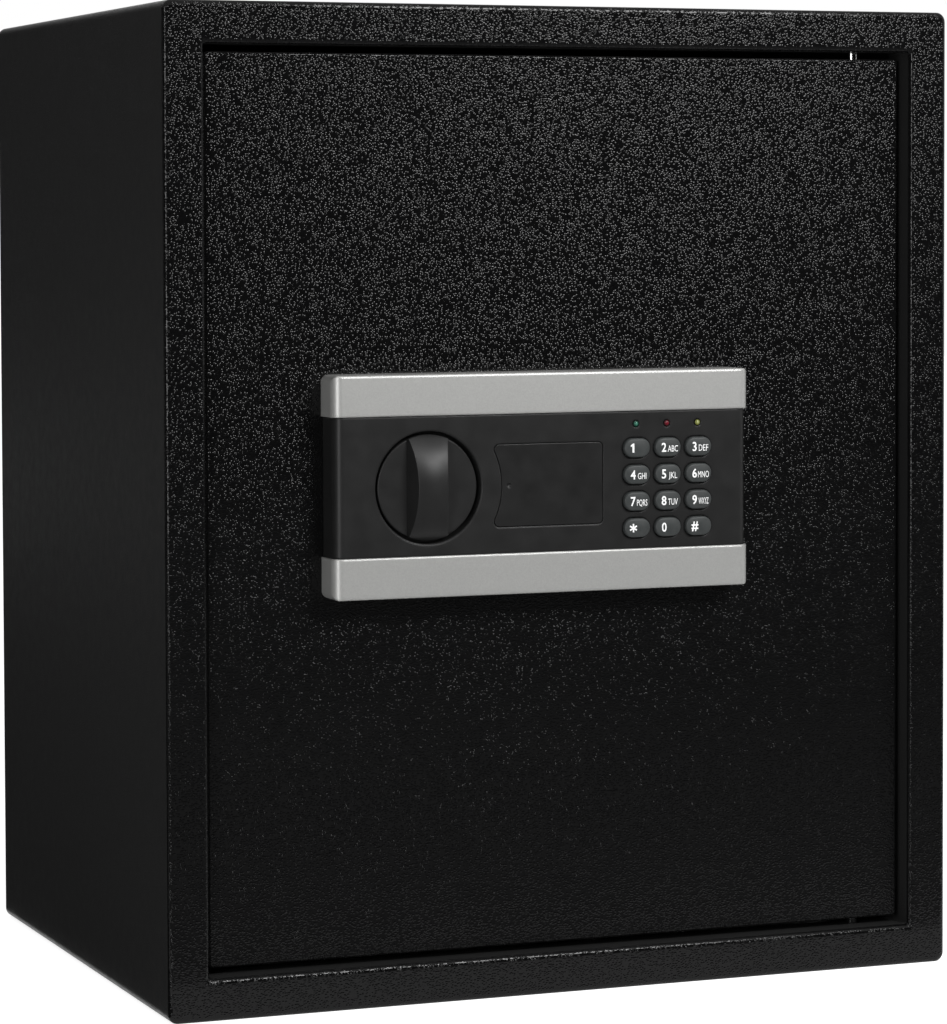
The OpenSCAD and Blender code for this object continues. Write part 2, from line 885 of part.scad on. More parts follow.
module circuit_board() color([0.05, 0.3, 0.14]) {
    back = board_y + board_t;
    block(
        [board_x0, board_y, panel_z - board_down],
        [board_x1, back, panel_z + board_up]
    );
    block(
        [keys_x - chip_w / 2, back, panel_z - chip_drop - chip_h / 2],
        [keys_x + chip_w / 2, back + chip_t, panel_z - chip_drop + chip_h / 2]
    );
}

module lamp(column) {
    at_key(column, lamp_row) {
        rod_y(lamp_d, 0, 0, black_y - 0.1, wall_y + 1);
        translate([0, black_y - 0.1 + lamp_d * 0.3, 0])
            sphere(d = lamp_d, $fn = 32);
        rod_y(lamp_d + 1, 0, 0, wall_y + 0.1, board_y);
    }
}

module led_green() color([0.1, 0.62, 0.42]) lamp(0);

module led_red() color([0.75, 0.1, 0.16]) lamp(1);

module led_yellow() color([0.72, 0.74, 0.15]) lamp(2);

// Key: a pill with a rounded crown, and a flange that rests behind the housing's wall.
module key(column, row) {
    r = 1;
    end = key_h / 2;
    depth = key_proud + housing_t + 0.5;
    at_key(column, row)
        translate([0, black_y - key_proud, 0])
            rotate([-90, 0, 0]) {
                for (x = [-1, 1])
                    translate([x * (key_w - key_h) / 2, 0, 0])
                        rotate_extrude($fn = 32)
                            edge_profile(end, depth, r);
                edge_bar(key_w - key_h, end, depth, r);
                translate([0, 0, key_proud + housing_t + hair])
                    linear_extrude(key_flange)
                        pill(key_w + 2 * key_flange, key_h + 2 * key_flange);
            }
}

module key_1() color(KEY_GREY) key(0, 0);

module key_2() color(KEY_GREY) key(1, 0);

module key_3() color(KEY_GREY) key(2, 0);

module key_4() color(KEY_GREY) key(0, 1);

module key_5() color(KEY_GREY) key(1, 1);

module key_6() color(KEY_GREY) key(2, 1);

module key_7() color(KEY_GREY) key(0, 2);

module key_8() color(KEY_GREY) key(1, 2);

module key_9() color(KEY_GREY) key(2, 2);

module key_star() color(KEY_GREY) key(0, 3);

module key_0() color(KEY_GREY) key(1, 3);

module key_hash() color(KEY_GREY) key(2, 3);

// Keyhole cover and emergency lock

module keyhole_cover() color(PLASTIC_BLACK) {
    difference() {
        along_y(black_y, black_y + cover_t)
            cover_outline(0);
        translate([knob_x + cover_hollow_r + 3, black_y - 0.4, knob_z])
            sphere(r = 1.1, $fn = 24);
    }
    for (z = [-1, 1])
        translate([lock_x + latch_x, 0, knob_z + z * latch_z])
            block([-3, black_y + cover_t - 0.1, -1], [3, black_y + cover_t + 0.9, 1]);
}

module lock_barrel() color(ZINC) {
    difference() {
        rod_y(barrel_d, lock_x, lock_z, barrel_front + 1.6, barrel_back);
        rod_y(plug_d + 2 * fit, lock_x, lock_z, barrel_front - 1, barrel_back - 2);
        rod_y(plug_tail_d + 2 * fit, lock_x, lock_z, barrel_back - 3, barrel_back + 1);
    }
}

module barrel_nut() color(ZINC) {
    difference() {
        translate([lock_x, plate_y + nut_t, lock_z])
            rotate([90, 0, 0])
                cylinder(h = nut_t, d = barrel_d + nut_over, $fn = 6);
        rod_y(barrel_d + 2 * seat, lock_x, lock_z, plate_y - 1, plate_y + nut_t + 1);
    }
}

module lock_plug() color([0.78, 0.62, 0.3]) {
    difference() {
        union() {
            rod_y(plug_d, lock_x, lock_z, barrel_front + 1.6, barrel_back - 2 - clear);
            rod_y(plug_tail_d, lock_x, lock_z, barrel_back - 3, cam_y + cam_t + 1);
        }
        block(
            [lock_x - 0.9, barrel_front, lock_z - 4],
            [lock_x + 0.9, barrel_front + keyway, lock_z + 4]
        );
    }
}

// Eccentric: its middle lies off the plug's axis by the plunger's travel.
module lock_cam() color(ZINC) {
    difference() {
        rod_y(2 * cam_r, lock_x + plunger_travel, lock_z, cam_y, cam_y + cam_t);
        rod_y(plug_tail_d + 2 * seat, lock_x, lock_z, cam_y - 1, cam_y + cam_t + 1);
    }
}

// Knob drive

module knob() color(PLASTIC_BLACK) {
    difference() {
        union() {
            translate([knob_x, disc_y, knob_z])
                rotate([-90, 0, 0])
                    rotate_extrude($fn = 96)
                        edge_profile(knob_d / 2, disc_t, knob_rim_r);
            intersection() {
                translate([knob_x, 0, knob_z - knob_d / 2])
                    linear_extrude(knob_d)
                        polygon([
                            [-fin_foot_w / 2, disc_y + 1],
                            [-fin_foot_w / 2, disc_y],
                            [-fin_crest_w / 2, disc_y - fin_rise - 1],
                            [fin_crest_w / 2, disc_y - fin_rise - 1],
                            [fin_foot_w / 2, disc_y],
                            [fin_foot_w / 2, disc_y + 1]
                        ]);
                rod_x(2 * fin_r, disc_y - fin_rise + fin_r, knob_z, knob_x - knob_d, knob_x + knob_d);
                rod_y(knob_d, knob_x, knob_z, disc_y - fin_rise - 1, disc_y + 1);
            }
        }
        rod_y(spindle_d + 2 * seat, knob_x, knob_z, disc_y + 1, disc_y + disc_t + 1);
    }
}

module knob_bush() color([0.78, 0.62, 0.3]) {
    difference() {
        union() {
            rod_y(spindle_d + 4, knob_x, knob_z, door_y - 0.1, crank_y - clear);
            rod_y(spindle_d + 9, knob_x, knob_z, plate_y, plate_y + bush_flange_t);
        }
        rod_y(spindle_d + 2 * fit, knob_x, knob_z, door_y - 1, crank_y + 1);
    }
}

module knob_spindle() color(ZINC)
    rod_y(spindle_d, knob_x, knob_z, disc_y + 1, crank_y + crank_t);

module crank() color(ZINC) {
    pin_x = crank_r * sin(crank_swing);
    pin_z = crank_r * cos(crank_swing);
    difference() {
        union() {
            rod_y(spindle_d + 6, knob_x, knob_z, crank_y, crank_y + crank_t);
            rod_y(crank_pin_d + 5, knob_x + pin_x, knob_z + pin_z, crank_y, crank_y + crank_t);
            translate([knob_x, 0, knob_z])
                rotate([0, crank_swing, 0])
                    block([-5, crank_y, 0], [5, crank_y + crank_t, crank_r]);
        }
        rod_y(spindle_d + 2 * seat, knob_x, knob_z, crank_y - 1, crank_y + crank_t + 1);
    }
    rod_y(crank_pin_d, knob_x + pin_x, knob_z + pin_z, crank_y + crank_t - 0.5, carriage_back + 1.5);
}

// Boltwork

module slot(w, h, x, z) {
    translate([x, z])
        rotate(w > h ? 0 : 90)
            pill(max(w, h), min(w, h));
}

module bolt_carriage() color(ZINC) {
    pin_x = knob_x + throw / 2;
    slot_w = crank_pin_d + 2 * slot_play;
    slot_z0 = knob_z + crank_r * cos(crank_swing) - crank_pin_d / 2 - 0.5;
    slot_z1 = knob_z + crank_r + crank_pin_d / 2 + 0.5;
    spine_h = bolt_pitch + 2 * spine_over;
    difference() {
        union() {
            along_y(carriage_y, carriage_back) {
                translate([flange_x, carriage_z - spine_h / 2])
                    square([spine_w, spine_h]);
                translate([flange_x, carriage_z - arm_h / 2])
                    square([carriage_x1 - flange_x, arm_h]);
                translate([flange_x, lever_z])
                    square([tab_x + tab_w / 2 - flange_x, lever_h]);
                translate([tab_x - tab_w / 2, tab_z])
                    square([tab_w, lever_z - tab_z + 1]);
            }
            block(
                [flange_x, carriage_y, carriage_z - spine_h / 2],
                [flange_x + carriage_t, bolt_y + bolt_d / 2 + 1, carriage_z + spine_h / 2]
            );
        }
        along_y(carriage_y - 1, carriage_back + 1) {
            slot(slot_w, slot_z1 - slot_z0, pin_x, (slot_z0 + slot_z1) / 2);
            for (z = [-1, 1])
                slot(
                    throw + stud_d + 2 * clear, stud_d + 2 * fit,
                    stud_x + throw / 2, carriage_z + z * stud_rise
                );
        }
        for (z = [-1, 1])
            rod_x(
                bolt_screw_d + 0.5, bolt_y, carriage_z + z * bolt_pitch / 2,
                flange_x - 1, flange_x + carriage_t + 1
            );
    }
}

module bolts() color(ZINC) {
    tip = 1.5;
    for (z = [-1, 1])
        translate([bolt_tip_x, bolt_y, carriage_z + z * bolt_pitch / 2])
            rotate([0, 90, 0])
                difference() {
                    rotate_extrude($fn = 48)
                        polygon([
                            [0, 0],
                            [bolt_d / 2 - tip, 0],
                            [bolt_d / 2, tip],
                            [bolt_d / 2, flange_x - bolt_tip_x],
                            [0, flange_x - bolt_tip_x]
                        ]);
                    translate([0, 0, bolt_len - bolt_thread_l])
                        cylinder(h = bolt_thread_l + 1, d = bolt_screw_d + 2 * seat, $fn = 32);
                }
}

module bolt_screws() color(ZINC) {
    x0 = flange_x + carriage_t;
    for (z = [-1, 1]) {
        rod_x(bolt_screw_d, bolt_y, carriage_z + z * bolt_pitch / 2, flange_x - bolt_thread_l + 2, x0 + 1);
        rod_x(bolt_screw_head_d, bolt_y, carriage_z + z * bolt_pitch / 2, x0, x0 + bolt_screw_head_t);
    }
}

module bolt_guide() color(ZINC) {
    x0 = casing_x0 + casing_t + 0.1;
    difference() {
        block(
            [x0, plate_y, carriage_z - bolt_pitch / 2 - guide_over],
            [x0 + guide_t, bolt_y + bolt_d / 2 + 4, carriage_z + bolt_pitch / 2 + guide_over]
        );
        for (z = [-1, 1])
            rod_x(bolt_d + 2 * fit, bolt_y, carriage_z + z * bolt_pitch / 2, x0 - 1, x0 + guide_t + 1);
    }
}

module guide_studs() color(ZINC) {
    for (z = [-1, 1]) {
        rod_y(stud_flange_d, stud_x, carriage_z + z * stud_rise, plate_y, carriage_y - clear);
        rod_y(stud_d, stud_x, carriage_z + z * stud_rise, plate_y, carriage_back + stud_head_t - 0.5);
        rod_y(
            stud_head_d, stud_x, carriage_z + z * stud_rise,
            carriage_back + clear, carriage_back + stud_head_t
        );
    }
}

// Electric blocker

module solenoid_frame() color(ZINC) {
    half = coil_d / 2 + 1.5;
    bottom = coil_z - clear - frame_t;
    difference() {
        union() {
            block([lock_x - half, plate_y, bottom], [lock_x + half, plate_y + frame_t, coil_top + frame_t]);
            block([lock_x - half, plate_y, coil_top], [lock_x + half, bolt_y + half, coil_top + frame_t]);
            block([lock_x - half, plate_y, bottom], [lock_x + half, bolt_y + half, bottom + frame_t]);
        }
        translate([lock_x, bolt_y, coil_top - 1])
            cylinder(h = frame_t + 2, d = plunger_d + 2 * fit, $fn = 48);
    }
}

module solenoid_coil() color([0.6, 0.3, 0.12]) {
    flange = 1.5;
    translate([lock_x, bolt_y, coil_z])
        difference() {
            union() {
                cylinder(h = coil_h, d = coil_d - 2, $fn = 48);
                for (z = [0, coil_h - flange])
                    translate([0, 0, z])
                        cylinder(h = flange, d = coil_d, $fn = 48);
            }
            translate([0, 0, 4])
                cylinder(h = coil_h, d = plunger_d + 2 * clear, $fn = 48);
        }
}

module blocker_plunger() color(ZINC) {
    translate([lock_x, bolt_y, 0]) {
        translate([0, 0, coil_z + 5])
            cylinder(h = head_z - coil_z - 5, d = plunger_d, $fn = 48);
        translate([0, 0, head_z - head_t])
            cylinder(h = head_t, d = head_d, $fn = 48);
    }
    block(
        [lock_x - blocker_w / 2, carriage_y - 0.8, block_z - block_t],
        [lock_x + blocker_w / 2, bolt_y + plunger_d / 2, block_z]
    );
}

function helix_point(turn, r, pitch) = [r * cos(360 * turn), r * sin(360 * turn), pitch * turn];

// Helical spring as one tube of six sides, with a ring every tenth of a turn.
module helix(r, wire, height, turns) {
    sides = 6;
    steps = 10 * turns;
    pitch = (height - wire) / turns;
    rings = [
        for (i = [0:steps], k = [0:sides - 1])
            let (
                turn = i / 10,
                side = 360 * k / sides,
                reach = r + wire / 2 * cos(side)
            )
            helix_point(turn, reach, pitch) + [0, 0, wire / 2 * (1 + sin(side))]
    ];
    skin = [
        for (i = [0:steps - 1], k = [0:sides - 1])
            let (a = i * sides + k, b = i * sides + (k + 1) % sides)
            [a, b, b + sides, a + sides]
    ];
    ends = [
        [for (k = [sides - 1:-1:0]) k],
        [for (k = [0:sides - 1]) steps * sides + k]
    ];
    polyhedron(points = rings, faces = concat(skin, ends));
}

module plunger_spring() color(ZINC) {
    z0 = coil_top + frame_t + spring_gap;
    z1 = block_z - block_t - spring_gap;
    translate([lock_x, bolt_y, z0])
        helix(spring_d / 2 - spring_wire / 2, spring_wire, z1 - z0, spring_turns);
}

// Power and code reset

module battery_box() color(PLASTIC_BLACK) {
    over_w = box_w + 2 * rim_over;
    over_h = box_h + 2 * rim_over;
    rail_y = lid_y + lid_t + clear;
    translate([box_x, 0, box_z]) {
        along_y(box_y0, casing_y)
            difference() {
                square([box_w, box_h], center = true);
                square([box_w - 2 * box_t, box_h - 2 * box_t], center = true);
            }
        along_y(box_y0, box_y0 + box_t)
            square([box_w, box_h], center = true);
        along_y(casing_y, casing_y + box_t)
            difference() {
                square([over_w, over_h], center = true);
                square([box_w - 2 * box_t, box_h - 2 * box_t], center = true);
            }
        for (x = [-1, 1]) {
            along_y(casing_y, rail_y)
                translate([x * (over_w - rail_w) / 2, 0])
                    square([rail_w, over_h], center = true);
            along_y(rail_y, rail_y + 1.2)
                translate([x * (over_w - 2 * rail_w) / 2, 0])
                    square([2 * rail_w, over_h], center = true);
        }
        along_y(casing_y, rail_y)
            translate([0, -(over_h - rail_w) / 2])
                square([over_w, rail_w], center = true);
    }
}

module batteries() color([0.2, 0.22, 0.25]) {
    pitch = cell_d + 0.8;
    for (i = [0:cell_count - 1])
        translate([
            box_x + (i - (cell_count - 1) / 2) * pitch,
            box_y0 + box_t + cell_d / 2 + 0.1,
            box_z - cell_l / 2 - 0.5
        ]) {
            cylinder(h = cell_l, d = cell_d, $fn = 32);
            cylinder(h = cell_l + 1.2, d = 5, $fn = 24);
        }
}

module battery_lid() color(PLASTIC_BLACK) {
    bottom = -(box_h + 2 * rim_over) / 2 + rail_w + 0.1;
    translate([box_x, 0, box_z]) {
        block([-lid_w / 2, lid_y, bottom], [lid_w / 2, lid_y + lid_t, bottom + lid_h]);
        for (i = [0:4])
            translate([0, 0, bottom + 6 + 2.5 * i])
                block([-9, lid_y + lid_t - 0.1, 0], [9, lid_y + lid_t + 0.8, 1.2]);
    }
}

module reset_switch() color(PLASTIC_BLACK) {
    difference() {
        block([reset_x - 7, rim_y - 9, reset_z - 7], [reset_x + 7, rim_y, reset_z + 7]);
        rod_y(reset_d + 2 * fit, reset_x, reset_z, rim_y - 6, rim_y + 1);
    }
}

module reset_button() color([0.7, 0.08, 0.08])
    rod_y(reset_d, reset_x, reset_z, rim_y - 6 + reset_travel + clear, casing_y + 2.5);

cabinet_shell();
back_panel();
front_frame();
hinge_plates();
floor_mat();
shelf_brackets();
shelf();
door_plate();
door_rim();
door_cover();
cover_screws();
hinge_blocks();
hinge_pins();
panel_housing();
trim_top();
trim_bottom();
panel_screws();
keypad_mat();
circuit_board();
led_green();
led_red();
led_yellow();
key_1();
key_2();
key_3();
key_4();
key_5();
key_6();
key_7();
key_8();
key_9();
key_star();
key_0();
key_hash();
keyhole_cover();
lock_barrel();
barrel_nut();
lock_plug();
lock_cam();
knob();
knob_bush();
knob_spindle();
crank();
bolt_carriage();
bolts();
bolt_screws();
bolt_guide();
guide_studs();
solenoid_frame();
solenoid_coil();
blocker_plunger();
plunger_spring();
battery_box();
batteries();
battery_lid();
reset_switch();
reset_button();
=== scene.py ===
from math import radians
import bmesh
import bpy
import numpy as np
from mathutils import Euler, Matrix, Vector


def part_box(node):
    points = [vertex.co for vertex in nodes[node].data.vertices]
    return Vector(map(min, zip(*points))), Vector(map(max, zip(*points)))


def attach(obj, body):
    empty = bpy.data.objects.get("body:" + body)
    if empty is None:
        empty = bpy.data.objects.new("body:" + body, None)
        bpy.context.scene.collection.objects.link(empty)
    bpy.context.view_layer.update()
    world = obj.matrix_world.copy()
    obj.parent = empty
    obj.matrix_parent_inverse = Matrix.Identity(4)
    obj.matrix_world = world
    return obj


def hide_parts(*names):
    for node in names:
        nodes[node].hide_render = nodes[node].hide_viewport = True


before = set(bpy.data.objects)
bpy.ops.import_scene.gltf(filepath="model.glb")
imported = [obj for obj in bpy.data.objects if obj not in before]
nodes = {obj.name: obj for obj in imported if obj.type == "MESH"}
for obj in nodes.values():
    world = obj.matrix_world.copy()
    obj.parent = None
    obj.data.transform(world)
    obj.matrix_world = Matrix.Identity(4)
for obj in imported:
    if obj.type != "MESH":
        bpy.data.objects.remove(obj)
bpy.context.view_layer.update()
print("frame loaded:", len(nodes), "nodes")

mm = 1000  # millimetres in a metre
noiseSpan = (0.3, 0.7)  # where nearly all of a noise's values lie


def linkObject(name, data):
    made = bpy.data.objects.new(name, data)
    bpy.context.scene.collection.objects.link(made)
    return made


# Mesh helpers. A piece's coordinates are in metres, in the frame of the CAD, and its object is at the origin.
# Faces point outward, and only edges sharper than the angle stay sharp.
def addPiece(name, verts, faces, material, body, sharp=35, swaps=()):
    mesh = bpy.data.meshes.new(name)
    mesh.from_pydata(np.asarray(verts).tolist(), [], [list(face) for face in faces])
    form = bmesh.new()
    form.from_mesh(mesh)
    bmesh.ops.recalc_face_normals(form, faces=form.faces)
    form.to_mesh(mesh)
    form.free()
    return dressMesh(name, mesh, material, body, sharp, swaps)


def dressMesh(name, mesh, material, body, sharp, swaps=()):
    mesh.polygons.foreach_set("use_smooth", [True] * len(mesh.polygons))
    mesh.set_sharp_from_angle(angle=radians(sharp))
    mesh.materials.clear()
    mesh.materials.append(material)
    piece = linkObject(name, mesh)
    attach(piece, body)
    if swaps:
        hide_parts(*swaps)
    return piece


# Quads between the rows of a grid. Each row is a closed loop, and the last row joins the first if asked.
def gridFaces(rows, columns, loopRows=False, first=0):
    r = np.arange(rows if loopRows else rows - 1)[:, None]
    c = np.arange(columns)[None, :]
    nextR, nextC = (r + 1) % rows, (c + 1) % columns
    corners = (r * columns + c, r * columns + nextC, nextR * columns + nextC, nextR * columns + c)
    return (first + np.stack(corners, -1).reshape(-1, 4)).tolist()


# The first and the last row of a grid, each as one face.
def endFaces(rows, columns, first=0):
    last = first + (rows - 1) * columns
    return [list(range(first, first + columns)), list(range(last, last + columns))]


# Arc in the plane of a section: centre plus radius times cosine and sine of an angle from start to end.
def arc(cx, cy, radius, start, end, steps=6):
    turn = np.radians(np.linspace(start, end, steps))
    return np.stack([cx + radius * np.cos(turn), cy + radius * np.sin(turn)], -1)


# Rectangles with round corners, one for each row of the profile, set one behind the other along Y.
# A row holds the outline's half width, half height, corner radius and depth. The outline's point at
# angle t of a corner is the corner's centre plus the radius times (cos t, sin t).
def stackOutlines(profile, centre, cornerSteps=10, loopRows=False):
    halfW, halfH, radius, depth = [column[:, None] for column in np.asarray(profile, float).T]
    quarter = np.repeat(np.arange(4), cornerSteps)
    turn = np.radians(quarter * 90 + np.tile(np.linspace(0, 90, cornerSteps), 4))[None, :]
    signX = np.array([1, -1, -1, 1])[quarter][None, :]
    signZ = np.array([1, 1, -1, -1])[quarter][None, :]
    x = centre[0] + signX * (halfW - radius) + radius * np.cos(turn)
    z = centre[1] + signZ * (halfH - radius) + radius * np.sin(turn)
    verts = np.stack([x, np.broadcast_to(depth, x.shape), z], -1).reshape(-1, 3)
    rows, columns = x.shape
    faces = gridFaces(rows, columns, loopRows)
    if not loopRows:
        faces += endFaces(rows, columns)
    return verts / mm, faces


# A shader node. A socket's value is a number, a vector or another node's socket.
def addNode(tree, kind, sockets=None, **settings):
    node = tree.nodes.new("ShaderNode" + kind)
    for name, value in settings.items():
        setattr(node, name, value)
    for name, value in (sockets or {}).items():
        if isinstance(value, bpy.types.NodeSocket):
            tree.links.new(value, node.inputs[name])
        else:
            node.inputs[name].default_value = value
    return node


# A value carried from the range start to end over to low to high, and held there beyond both ends.
def remap(tree, value, low, high, start=0.0, end=1.0):
    return addNode(tree, "MapRange", {"Value": value, "From Min": start, "From Max": end,
                                      "To Min": low, "To Max": high}).outputs["Result"]


# Height patterns, each a socket that runs from 0 to about 1. Sizes are in mm.
# Pebbles are domes on the cells of a Voronoi pattern, a little wider than tall. Their height swells slowly.
pebbleShape = {"stretch": (0.78, 1.0, 1.06), "foot": 0.62, "swell": 0.42, "lowest": 0.7}


def pebblePattern(tree, place, size):
    wide = addNode(tree, "Mapping", {"Vector": place, "Scale": pebbleShape["stretch"]}).outputs[0]
    cells = addNode(tree, "TexVoronoi", {"Vector": wide, "Scale": mm / size}, feature="F1")
    swell = addNode(tree, "TexNoise", {"Vector": place, "Scale": pebbleShape["swell"] * mm / size,
                                       "Detail": 1.0})
    dome = addNode(tree, "MapRange", {"Value": cells.outputs["Distance"], "From Min": 0.0,
                                      "From Max": pebbleShape["foot"], "To Min": 1.0, "To Max": 0.0},
                   interpolation_type="SMOOTHSTEP")
    tall = remap(tree, swell.outputs["Fac"], pebbleShape["lowest"], 1.0, *noiseSpan)
    return addNode(tree, "Math", {0: dome.outputs["Result"], 1: tall}, operation="MULTIPLY").outputs[0]


def grainPattern(tree, place, size):
    return addNode(tree, "TexNoise", {"Vector": place, "Scale": mm / size, "Detail": 3.0,
                                      "Roughness": 0.6}).outputs["Fac"]


def brushPattern(tree, place, size):
    drawn = addNode(tree, "Mapping", {"Vector": place, "Scale": (0.04, 1.0, 1.0)})  # long in X
    return addNode(tree, "TexNoise", {"Vector": drawn.outputs[0], "Scale": mm / size,
                                      "Detail": 2.0}).outputs["Fac"]


def windingPattern(tree, place, size):
    return addNode(tree, "TexWave", {"Vector": place, "Scale": mm / size / 2, "Distortion": 0.0},
                   bands_direction="Z", wave_profile="SIN").outputs["Fac"]


def newMaterial(name):
    material = bpy.data.materials.new(name)
    material.use_nodes = True
    return material, material.node_tree.nodes["Principled BSDF"]


# Object coordinate along one axis, in metres.
def alongAxis(tree, axis):
    place = addNode(tree, "TexCoord").outputs["Object"]
    return addNode(tree, "SeparateXYZ", {0: place}).outputs[axis]


# One finish: two colours mottled by noise, a roughness range, a height pattern with its size and height in
# mm and, if asked, edges that look round by so many mm.
def makeFinish(name, look):
    material, shader = newMaterial(name)
    tree = material.node_tree
    place = addNode(tree, "TexCoord").outputs["Object"]
    mottle = addNode(tree, "TexNoise", {"Vector": place, "Scale": mm / look["mottle"], "Detail": 4.0})
    spread = remap(tree, mottle.outputs["Fac"], 0.0, 1.0, *noiseSpan)
    tint = addNode(tree, "Mix", {"Factor": spread}, data_type="RGBA")
    tint.inputs["A"].default_value = (*look["color"], 1)
    tint.inputs["B"].default_value = (*look["accent"], 1)
    tree.links.new(tint.outputs["Result"], shader.inputs["Base Color"])
    rough = remap(tree, mottle.outputs["Fac"], *look["roughness"], *noiseSpan)
    tree.links.new(rough, shader.inputs["Roughness"])
    for socket, value in look["shader"].items():
        shader.inputs[socket].default_value = value
    pattern, size, height = look["relief"]
    relief = pattern(tree, place, size)
    bump = addNode(tree, "Bump", {"Height": relief, "Distance": height / mm, "Strength": 1.0})
    if "softEdge" in look:
        soft = addNode(tree, "Bevel", {"Radius": look["softEdge"] / mm}, samples=6)
        tree.links.new(soft.outputs["Normal"], bump.inputs["Normal"])
    tree.links.new(bump.outputs["Normal"], shader.inputs["Normal"])
    return material


finishLooks = {
    # the cabinet's coat is the front's black coat with a base colour some seven times paler: painted light
    # for the light that falls on the side
    "litSideCoat": {"color": (0.0162, 0.0162, 0.0162), "accent": (0.0180, 0.0180, 0.0180), "mottle": 6,
                 "roughness": (0.34, 0.42), "relief": (pebblePattern, 0.97, 0.05),
                 "shader": {"Specular IOR Level": 0.14}},
    "innerPaint": {"color": (0.010, 0.010, 0.011), "accent": (0.014, 0.014, 0.015), "mottle": 14,
                   "roughness": (0.38, 0.5), "relief": (pebblePattern, 0.9, 0.1),
                   "shader": {"Specular IOR Level": 0.35}},
    "matFelt": {"color": (0.022, 0.022, 0.024), "accent": (0.045, 0.045, 0.048), "mottle": 1.6,
                "roughness": (0.85, 0.98), "relief": (grainPattern, 0.5, 0.35),
                "shader": {"Sheen Weight": 0.4, "Sheen Roughness": 0.5}},
    "zincSteel": {"color": (0.55, 0.55, 0.52), "accent": (0.66, 0.66, 0.67), "mottle": 5,
                  "roughness": (0.24, 0.42), "relief": (grainPattern, 0.6, 0.02),
                  "shader": {"Metallic": 1.0}},
    "brightSteel": {"color": (0.68, 0.68, 0.67), "accent": (0.78, 0.78, 0.77), "mottle": 9,
                    "roughness": (0.12, 0.24), "relief": (brushPattern, 0.25, 0.01),
                    "shader": {"Metallic": 1.0}},
    "panelPlastic": {"color": (0.0098, 0.0098, 0.0098), "accent": (0.0120, 0.0120, 0.0120), "mottle": 9,
                     "roughness": (0.35, 0.41), "relief": (grainPattern, 0.22, 0.014), "softEdge": 1.2,
                     "shader": {"Specular IOR Level": 0.225}},
    "coverPlastic": {"color": (0.0088, 0.0088, 0.0088), "accent": (0.0105, 0.0105, 0.0105), "mottle": 7,
                     "roughness": (0.30, 0.36), "relief": (grainPattern, 0.22, 0.012), "softEdge": 0.5,
                     "shader": {"Specular IOR Level": 0.26}},
    "knobPlastic": {"color": (0.0095, 0.0095, 0.0095), "accent": (0.0115, 0.0115, 0.0115), "mottle": 8,
                    "roughness": (0.38, 0.44), "relief": (grainPattern, 0.22, 0.012),
                    "shader": {"Specular IOR Level": 0.22}},
    "capSilver": {"color": (0.345, 0.345, 0.336), "accent": (0.388, 0.388, 0.378), "mottle": 0.5,
                  "roughness": (0.37, 0.43), "relief": (grainPattern, 0.16, 0.004), "softEdge": 1.1,
                  "shader": {"Metallic": 0.5, "Specular IOR Level": 0.4}},
    "keyPlastic": {"color": (0.031, 0.034, 0.034), "accent": (0.038, 0.041, 0.041), "mottle": 3,
                   "roughness": (0.4, 0.5), "relief": (grainPattern, 0.2, 0.012),
                   "shader": {"Specular IOR Level": 0.2}},
    "legendInk": {"color": (0.72, 0.73, 0.73), "accent": (0.8, 0.8, 0.8), "mottle": 0.6,
                  "roughness": (0.45, 0.55), "relief": (grainPattern, 0.15, 0.004), "shader": {}},
    "matRubber": {"color": (0.03, 0.03, 0.032), "accent": (0.04, 0.04, 0.042), "mottle": 4,
                  "roughness": (0.6, 0.75), "relief": (grainPattern, 0.4, 0.03), "shader": {}},
    "brassMetal": {"color": (0.66, 0.46, 0.17), "accent": (0.76, 0.56, 0.24), "mottle": 4,
                   "roughness": (0.2, 0.34), "relief": (brushPattern, 0.3, 0.012),
                   "shader": {"Metallic": 1.0}},
    "coilCopper": {"color": (0.42, 0.15, 0.05), "accent": (0.62, 0.27, 0.11), "mottle": 2,
                   "roughness": (0.25, 0.4), "relief": (windingPattern, 0.5, 0.1),
                   "shader": {"Metallic": 0.9}},
    "boxPlastic": {"color": (0.024, 0.024, 0.026), "accent": (0.032, 0.032, 0.034), "mottle": 10,
                   "roughness": (0.45, 0.56), "relief": (grainPattern, 0.3, 0.03), "shader": {}},
    "cellWrap": {"color": (0.03, 0.10, 0.24), "accent": (0.04, 0.13, 0.3), "mottle": 3,
                 "roughness": (0.22, 0.3), "relief": (grainPattern, 0.6, 0.01),
                 "shader": {"Coat Weight": 0.4}},
    "boardGreen": {"color": (0.01, 0.07, 0.03), "accent": (0.03, 0.16, 0.06), "mottle": 1.4,
                   "roughness": (0.3, 0.42), "relief": (grainPattern, 0.8, 0.03),
                   "shader": {"Coat Weight": 0.3}},
    "resetRed": {"color": (0.5, 0.02, 0.02), "accent": (0.6, 0.035, 0.03), "mottle": 2,
                 "roughness": (0.35, 0.45), "relief": (grainPattern, 0.2, 0.01), "shader": {}},
}
finishes = {name: makeFinish(name, look) for name, look in finishLooks.items()}

# Lamps: tinted domes with a painted highlight round their middle and painted shade in a dark ring at their
# edge.
# The highlight core ends at the first band, a share of the radius, the rim's tint lies between the next two,
# and the shade ring starts at the last.
lampLooks = {
    "led_green": {"rim": (0.004, 0.05, 0.03), "highlightCore": (0.06, 0.19, 0.14)},
    "led_red": {"rim": (0.06, 0.001, 0.004), "highlightCore": (0.13, 0.003, 0.012)},
    "led_yellow": {"rim": (0.12, 0.13, 0.025), "highlightCore": (0.30, 0.32, 0.14)},
}
lampShape = {"radius": 1.5, "ring": (0.003, 0.003, 0.003), "bands": (0.1, 0.5, 0.68, 0.8),
             "lens": {"mottle": 1, "roughness": (0.12, 0.2), "relief": (grainPattern, 0.5, 0.004),
                      "shader": {"Specular IOR Level": 0.3}}}


